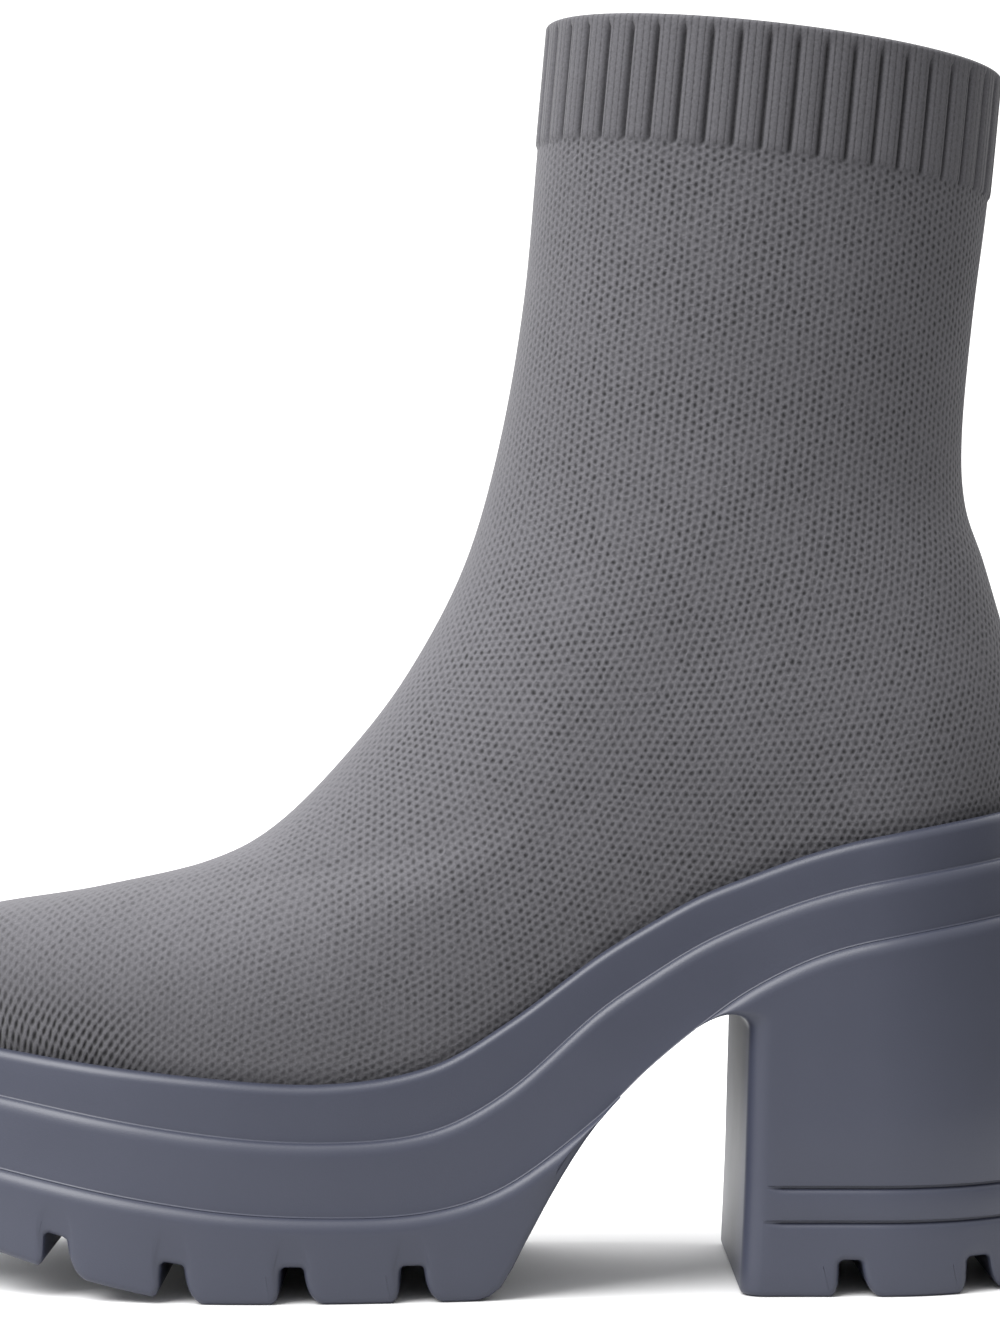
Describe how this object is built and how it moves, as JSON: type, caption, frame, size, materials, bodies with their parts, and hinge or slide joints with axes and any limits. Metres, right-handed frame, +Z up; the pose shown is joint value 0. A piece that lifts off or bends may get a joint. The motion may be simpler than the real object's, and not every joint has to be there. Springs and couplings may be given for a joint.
{
  "type": "sock boot",
  "caption": "Ankle-high knitted sock boot with a ribbed cuff on a chunky stepped platform with a lugged tread and a block heel.",
  "frame": {"origin": "centre of the bounding box on the floor plane under the sole", "axes": "the toe points along -X and the heel along +X, the outer side faces -Y, +Z up from the floor"},
  "size_m": [0.249, 0.0959, 0.2559],
  "materials": {
    "knit": "matte mesh knit with a ribbed cuff, grey",
    "footbed": "matte textile footbed, dark grey",
    "sole": "satin moulded rubber, slate blue-grey"
  },
  "bodies": {
    "root": {"upper": "knit", "insole": "footbed", "midsole": "sole", "outsole": "sole", "heel": "sole", "heel_top_piece": "sole"}
  },
  "joints": []
}
